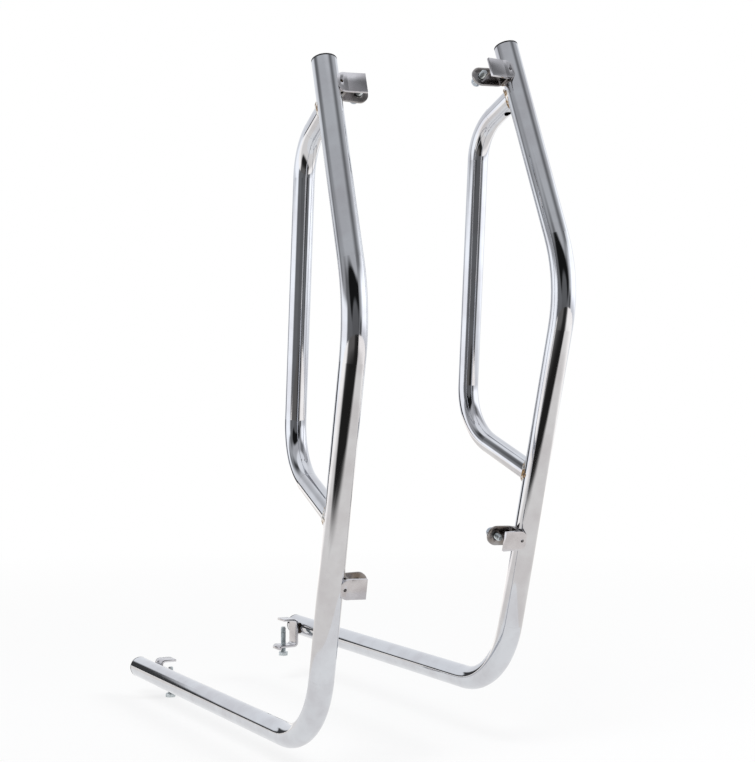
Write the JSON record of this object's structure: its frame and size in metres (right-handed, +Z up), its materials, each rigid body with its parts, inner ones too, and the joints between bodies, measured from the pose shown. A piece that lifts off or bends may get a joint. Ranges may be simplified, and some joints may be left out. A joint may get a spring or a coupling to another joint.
{
  "type": "motorcycle crash bars",
  "caption": "Pair of chromed tubular leg shield crash bars with side hoops, screw clamps for the shield edges and clamps for the floor board.",
  "frame": {"origin": "under the middle of the pair's bounding box, on its lowest point", "axes": "+X to the right bar (across the vehicle), +Y to the vehicle's rear along the bottom runs, +Z up"},
  "size_m": [0.2398, 0.5898, 0.6589],
  "materials": {
    "chromed_tube": "polished chrome plate on bent steel tube",
    "chromed_strip": "polished chrome plate on bent steel strip",
    "chromed_weld": "chrome plate over a weld bead",
    "chromed_nut": "chrome plated dome nut",
    "zinc_fastener": "bright zinc plated thread",
    "dark_steel": "thin plate over a rough weld block",
    "black_rubber": "matt black rubber ring",
    "grey_plastic": "satin light grey plastic"
  },
  "bodies": {
    "root": {"right_main_tube": "chromed_tube", "right_hoop_tube": "chromed_tube", "right_hoop_welds": "chromed_weld", "right_top_seal_ring": "black_rubber", "right_top_end_plug": "grey_plastic", "right_run_seal_ring": "black_rubber", "right_run_end_plug": "grey_plastic", "right_top_clamp_plate": "chromed_strip", "right_top_clamp_jaw": "chromed_strip", "right_top_clamp_screw": "zinc_fastener", "right_top_clamp_dome_nut": "chromed_nut", "right_mid_clamp_plate": "chromed_strip", "right_mid_clamp_jaw": "chromed_strip", "right_mid_clamp_screw": "zinc_fastener", "right_mid_clamp_dome_nut": "chromed_nut", "right_clamp_welds": "chromed_weld", "right_floor_clamp": "chromed_strip", "right_floor_clamp_spacer": "dark_steel", "right_floor_clamp_screw": "zinc_fastener", "left_main_tube": "chromed_tube", "left_hoop_tube": "chromed_tube", "left_hoop_welds": "chromed_weld", "left_top_seal_ring": "black_rubber", "left_top_end_plug": "grey_plastic", "left_run_seal_ring": "black_rubber", "left_run_end_plug": "grey_plastic", "left_top_clamp_plate": "chromed_strip", "left_top_clamp_jaw": "chromed_strip", "left_top_clamp_screw": "zinc_fastener", "left_top_clamp_dome_nut": "chromed_nut", "left_mid_clamp_plate": "chromed_strip", "left_mid_clamp_jaw": "chromed_strip", "left_mid_clamp_screw": "zinc_fastener", "left_mid_clamp_dome_nut": "chromed_nut", "left_clamp_welds": "chromed_weld", "left_floor_clamp": "chromed_strip", "left_floor_clamp_spacer": "dark_steel", "left_floor_clamp_screw": "zinc_fastener"}
  },
  "joints": []
}
